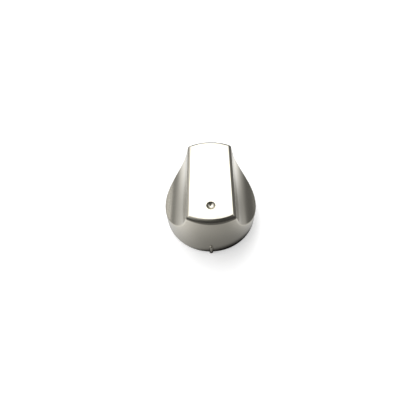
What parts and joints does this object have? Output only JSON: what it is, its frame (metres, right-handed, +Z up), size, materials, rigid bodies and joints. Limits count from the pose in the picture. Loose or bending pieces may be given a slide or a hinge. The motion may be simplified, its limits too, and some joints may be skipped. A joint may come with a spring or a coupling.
{
  "type": "hob knob",
  "caption": "Round push-on control knob for a cooking hob, with a bar grip between scooped sides, a pointer dimple and a flatted spindle socket.",
  "frame": {"origin": "on the spindle axis, at the foot of the skirt", "axes": "+Z up through the grip, away from the hob; the grip runs along Y and the pointer is towards -Y"},
  "size_m": [0.04, 0.0406, 0.0258],
  "materials": {
    "silver_finish": "satin silver metal finish on a moulding",
    "spring_steel": "bright strip steel"
  },
  "bodies": {
    "root": {"knob_body": "silver_finish", "spring_band": "spring_steel"}
  },
  "joints": []
}
